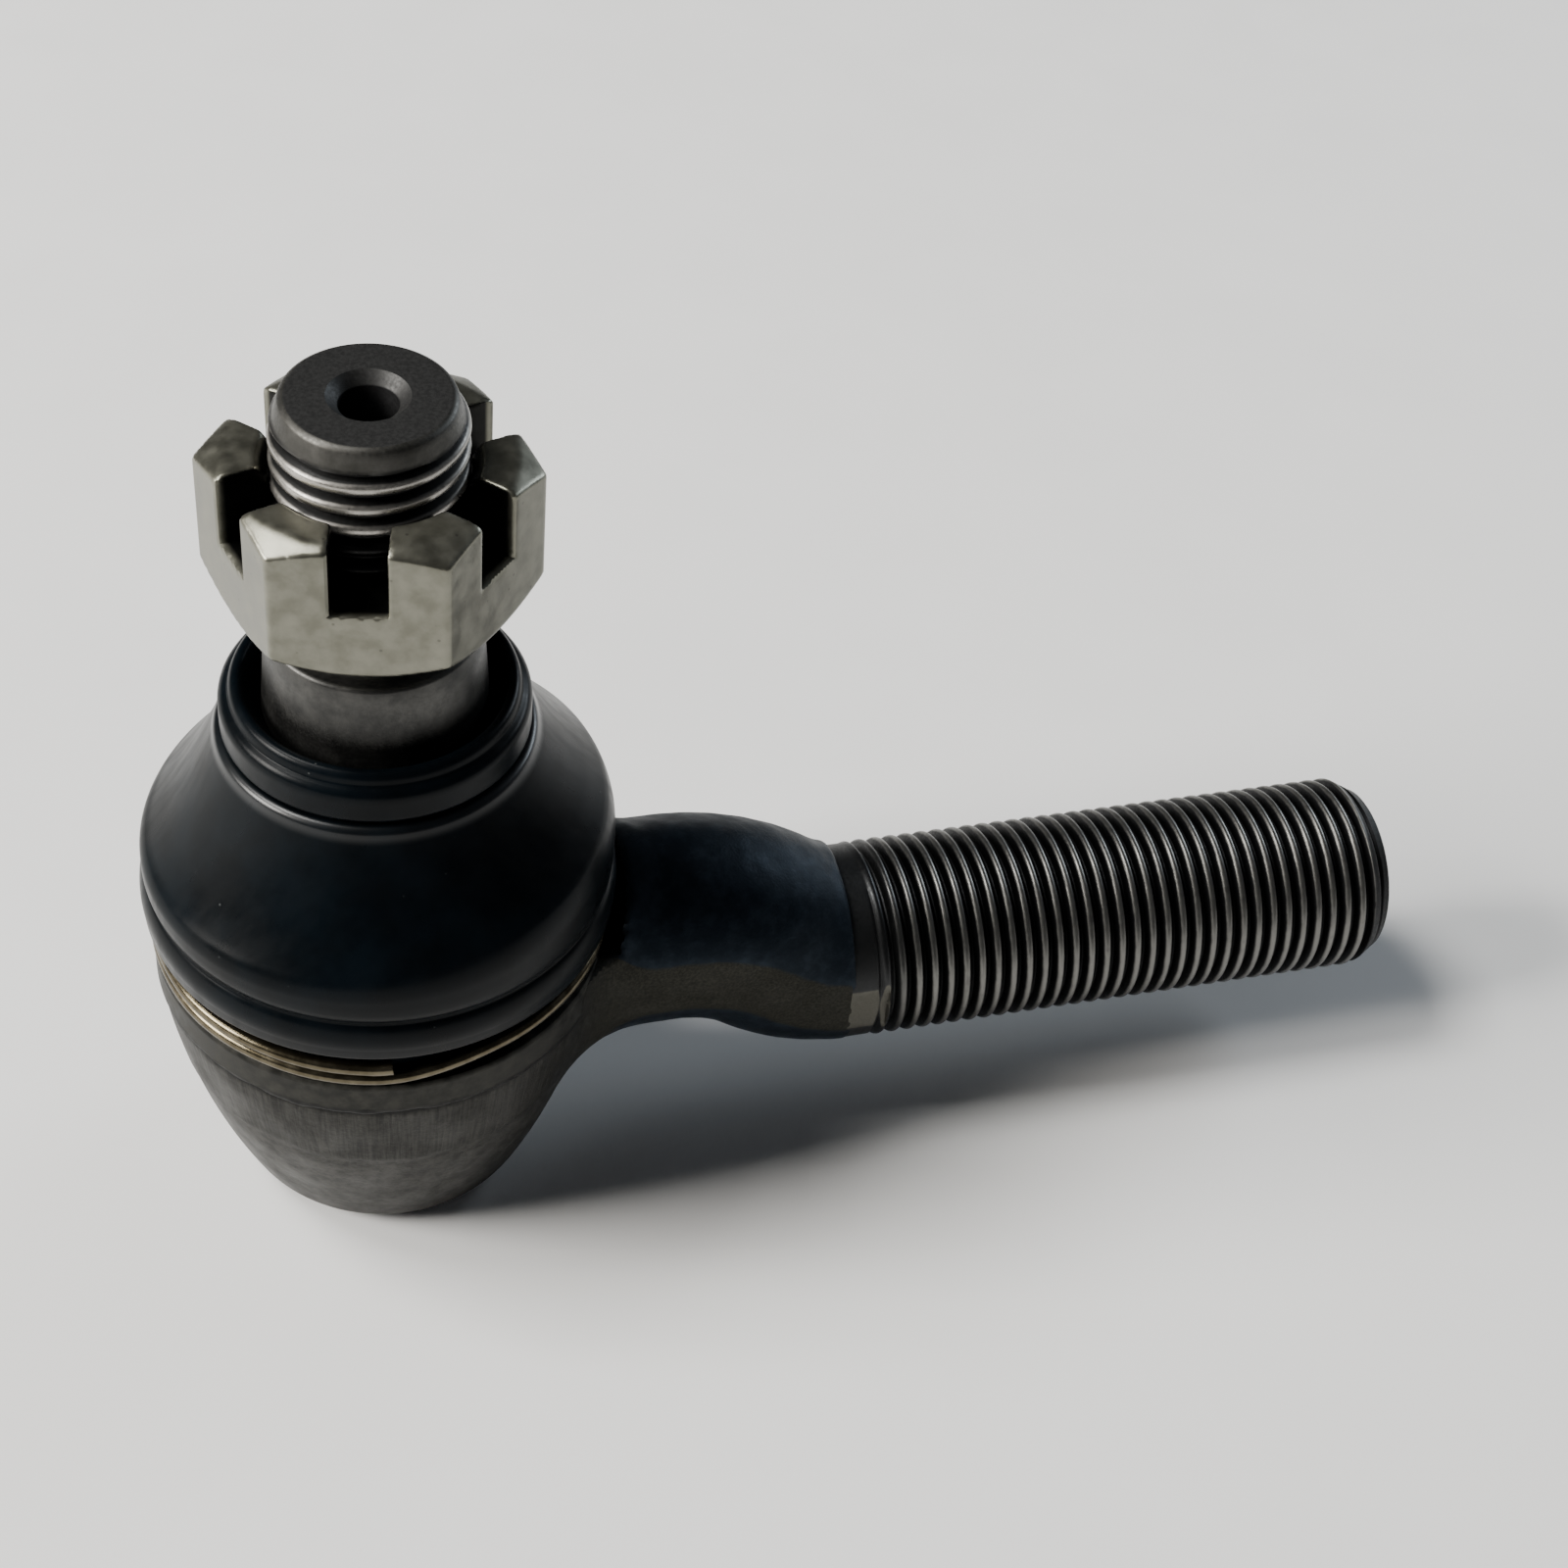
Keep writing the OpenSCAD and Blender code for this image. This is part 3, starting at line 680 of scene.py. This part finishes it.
def stud_steel():
    s, color, rough, normal = thread_steel("stud_steel", False, STUD_R, 0.45, (0.014, 0.014, 0.014),
                                           (0.34, 0.325, 0.3), 0.26)
    rho = s.radius(s.x, s.y)
    blotch = s.noise(0.3, 4)
    lead = s.mix(s.span(blotch, 0.3, 0.75), (0.045, 0.044, 0.04), (0.085, 0.083, 0.077))
    color = s.mix(s.span(s.z, 106.9, 107.5), color, lead)
    # painted shade: the thread goes near-black below the nut's top, inside the nut
    color = s.mix(s.span(s.z, 100.4, 98.8), color, (0.012, 0.012, 0.012))
    smooth = s.mix(s.span(blotch, 0.3, 0.75), (0.038, 0.038, 0.037), (0.08, 0.079, 0.075))
    on_taper = s.span(s.z, 82.6, 82.0)
    color = s.mix(on_taper, color, smooth)
    face = s.mix(s.noise(2.2, 5), (0.03, 0.03, 0.03), (0.065, 0.065, 0.064))
    # painted shade inside the centre hole
    face = s.mix(s.span(rho, 3.1, 2.9), face, (0.014, 0.014, 0.015))
    on_face = s.math("MULTIPLY", s.math("MAXIMUM", s.span(s.z, 109.44, 109.49), s.span(rho, 4.3, 4.2)),
                     s.math("MULTIPLY", s.span(rho, 8.15, 8.05), s.span(s.z, 100.0, 101.0)))
    color = s.mix(on_face, color, face)
    rough = s.math("ADD", rough, s.math("MULTIPLY", s.math("MAXIMUM", on_taper, on_face), 0.1))
    return s.finish(color, rough, normal)


def nut_zinc():
    s = Shader("nut_zinc", Metallic=0.9)
    coarse, medium, fine = s.noise(0.14, 3), s.noise(0.45, 5, 0.5), s.noise(5.0, 3)
    color = s.mix(s.span(medium, 0.25, 0.75), (0.14, 0.138, 0.11), (0.22, 0.217, 0.178))
    color = s.mix(s.math("MULTIPLY", s.span(coarse, 0.5, 0.8), 0.3), color, (0.1, 0.098, 0.078))
    color = s.mix(s.math("MULTIPLY", s.specks(0.45, 0.1), 0.5), color, (0.06, 0.057, 0.05))
    # painted shade: near-black colour inside the slots and round the bore, where shade falls
    inner = s.span(s.radius(s.x, s.y), 10.9, 10.5)
    for k in range(3):
        t = math.radians(NUT_TURN + 60 * k)
        out = s.math("ADD", s.math("MULTIPLY", s.x, math.cos(t)), s.math("MULTIPLY", s.y, math.sin(t)))
        across = s.math("SUBTRACT", s.math("MULTIPLY", s.y, math.cos(t)),
                        s.math("MULTIPLY", s.x, math.sin(t)))
        slot = s.math("MULTIPLY", s.span(s.math("ABSOLUTE", across), 3.0, 2.88),
                      s.span(s.math("ABSOLUTE", out), 14.5, 13.9))
        slot = s.math("MULTIPLY", slot, s.span(s.z, SLOT_FLOOR - 0.2, SLOT_FLOOR - 0.05))
        inner = s.math("MAXIMUM", inner, slot)
    color = s.mix(inner, color, (0.012, 0.012, 0.011))
    rough = s.span(medium, 0.25, 0.75, 0.3, 0.42)
    height = s.math("ADD", s.math("MULTIPLY", medium, 0.7), s.math("MULTIPLY", fine, 0.12))
    return s.finish(color, rough, s.bump(height, 0.05, 0.6))


def boot_rubber():
    s = Shader("boot_rubber", Specular_IOR_Level=0.08)
    coarse, medium, fine = s.noise(0.12, 4), s.noise(0.9, 4), s.noise(7.0, 3)
    color = s.mix(s.span(coarse, 0.35, 0.7), (0.0008, 0.0016, 0.0024), (0.002, 0.0038, 0.0056))
    dust = s.math("MULTIPLY", s.specks(0.5, 0.08), s.span(s.noise(0.3, 2), 0.52, 0.64))
    color = s.mix(s.math("MULTIPLY", dust, 0.6), color, (0.06, 0.066, 0.066))
    wiped = s.vector(*(s.math("MULTIPLY", v, k) for v, k in ((s.x, 0.25), (s.y, 0.6), (s.z, 0.12))))
    smear = s.noise(1.0, 4, 0.6, wiped)
    rough = s.math("ADD", s.span(smear, 0.3, 0.75, 0.27, 0.36), s.math("MULTIPLY", dust, 0.2))
    polished = s.math("MULTIPLY", s.span(s.z, 65.2, 66.2), s.span(s.z, 67.6, 67.2))
    s.put(s.surface.inputs["Coat Weight"], s.math("MULTIPLY", polished, 0.6))
    s.surface.inputs["Coat Roughness"].default_value = 0.3
    height = s.math("ADD", s.math("MULTIPLY", fine, 0.5), s.math("MULTIPLY", medium, 0.25))
    return s.finish(color, rough, s.bump(height, 0.012, 0.6))


def wire_steel():
    s = Shader("wire_steel", Metallic=0.95)
    medium = s.noise(0.6, 3)
    color = s.mix(s.span(medium, 0.3, 0.72), (0.075, 0.062, 0.038), (0.13, 0.112, 0.075))
    return s.finish(color, s.span(medium, 0.3, 0.7, 0.2, 0.27), s.bump(s.noise(2.5, 2), 0.006, 0.4))


def plain_metal(name, low, high, rough, lines_scale, metallic=0.9):
    s = Shader(name, Metallic=metallic)
    medium = s.noise(0.7, 5)
    turned = s.vector(s.math("MULTIPLY", s.radius(s.x, s.y), lines_scale), 0.0,
                      s.math("MULTIPLY", s.z, lines_scale))
    lines = s.noise(1.0, 2, 0.5, turned)
    color = s.mix(s.span(medium, 0.3, 0.72), low, high)
    normal = s.bump(s.math("ADD", lines, medium), 0.03, 0.6)
    return s.finish(color, s.span(medium, 0.3, 0.7, rough, rough + 0.16), normal)


def seat_plastic():
    s = Shader("seat_plastic", Subsurface_Weight=0.08)
    medium, fine = s.noise(0.5, 4), s.noise(6.0, 3)
    color = s.mix(medium, (0.62, 0.59, 0.5), (0.8, 0.77, 0.68))
    return s.finish(color, s.span(medium, 0.3, 0.7, 0.4, 0.55), s.bump(fine, 0.03, 0.5))


looks = {
    "forged": forged_steel(), "turned": turned_steel(), "shank": shank_steel(), "stud": stud_steel(),
    "nut": nut_zinc(), "rubber": boot_rubber(), "seat": seat_plastic(), "wire": wire_steel(),
    "cover": plain_metal("cover_steel", (0.2, 0.2, 0.19), (0.38, 0.37, 0.35), 0.32, 8.0),
    "spring": plain_metal("spring_steel", (0.09, 0.1, 0.14), (0.2, 0.22, 0.27), 0.28, 8.0),
    "insert": plain_metal("insert_steel", (0.3, 0.3, 0.29), (0.5, 0.49, 0.46), 0.3, 8.0),
}


def wear(obj, look):
    obj.data.materials.clear()
    obj.data.materials.append(looks[look])


for piece, look, slot, body in (
        (socket, "forged", "forged_steel", "socket"), (turned_band, "turned", "forged_steel", "socket"),
        (shank, "shank", "forged_steel", "socket"), (stud, "stud", "stud_steel", "stud"),
        (nut, "nut", "nut_zinc", "nut"), (wire, "wire", "wire_steel", "socket"),
        (spring, "spring", "spring_steel", None), (boot_low, "rubber", "boot_rubber", None),
        (boot_high, "rubber", "boot_rubber", None)):
    wear(piece, look)
    if body:
        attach(piece, body)
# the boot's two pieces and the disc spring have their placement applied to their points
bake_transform(boot_low)
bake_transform(boot_high)
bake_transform(spring)
for node, look in (("upper_seat", "seat"), ("lower_seat", "seat"), ("end_cover", "cover"),
                   ("collar_insert", "insert")):
    for slot_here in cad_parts[node].material_slots:
        slot_here.material = looks[look]

# ---------------------------------------------------------------- floor, light and camera
FLOOR_HALF, FLOOR_Z = 3000, -0.05
floor_corners = [(FLOOR_HALF * i, FLOOR_HALF * j, FLOOR_Z) for i, j in ((-1, -1), (1, -1), (1, 1), (-1, 1))]
floor = add_object("floor", floor_corners, [[0, 1, 2, 3]])
ground = Shader("pale_floor")
pale = ground.mix(ground.noise(0.02, 3), (0.86, 0.86, 0.855), (0.9, 0.9, 0.895))
matt = ground.span(ground.noise(0.05, 3), 0.3, 0.7, 0.55, 0.7)
floor.data.materials.append(ground.finish(pale, matt))


def area_light(name, place, target, size, power, color):
    data = bpy.data.lights.new(name, "AREA")
    data.shape = "RECTANGLE"
    data.size, data.size_y = size
    data.energy = power
    data.color = color
    lamp = bpy.data.objects.new(name, data)
    lamp.location = place
    lamp.rotation_euler = (Vector(target) - Vector(place)).to_track_quat("-Z", "Y").to_euler()
    bpy.context.scene.collection.objects.link(lamp)


middle = (0.03, 0, 0.04)
area_light("key", (-1.6, 0.0, 1.02), middle, (0.7, 0.7), 66.0, (1.0, 0.97, 0.92))
area_light("top", (-0.9, 0.3, 1.75), middle, (0.55, 0.55), 30.0, (1.0, 0.99, 0.96))
area_light("rim", (1.0, 0.5, 0.42), middle, (0.5, 0.3), 5.0, (0.82, 0.91, 1.0))

world = bpy.data.worlds.new("studio")
world.use_nodes = True
world.node_tree.nodes["Background"].inputs["Color"].default_value = (0.9, 0.93, 1.0, 1.0)
world.node_tree.nodes["Background"].inputs["Strength"].default_value = 0.06
bpy.context.scene.world = world

VIEW_AZ, VIEW_EL, VIEW_ROLL = (math.radians(v) for v in (19.44, 44.71, 6.78))
forward = Vector((math.sin(VIEW_AZ) * math.cos(VIEW_EL), math.cos(VIEW_AZ) * math.cos(VIEW_EL),
                  -math.sin(VIEW_EL)))
level = Vector((math.cos(VIEW_AZ), -math.sin(VIEW_AZ), 0))
upward = level.cross(forward)
right = level * math.cos(VIEW_ROLL) + upward * math.sin(VIEW_ROLL)
up = upward * math.cos(VIEW_ROLL) - level * math.sin(VIEW_ROLL)
camera_data = bpy.data.cameras.new("camera")
camera_data.lens = 64.14
camera_data.sensor_width = 36.0
camera_data.clip_start = 0.01
camera = bpy.data.objects.new("camera", camera_data)
camera.matrix_world = Matrix(((right.x, up.x, -forward.x, -0.02936), (right.y, up.y, -forward.y, -0.21492),
                              (right.z, up.z, -forward.z, 0.27440), (0, 0, 0, 1)))
bpy.context.scene.collection.objects.link(camera)
bpy.context.scene.camera = camera
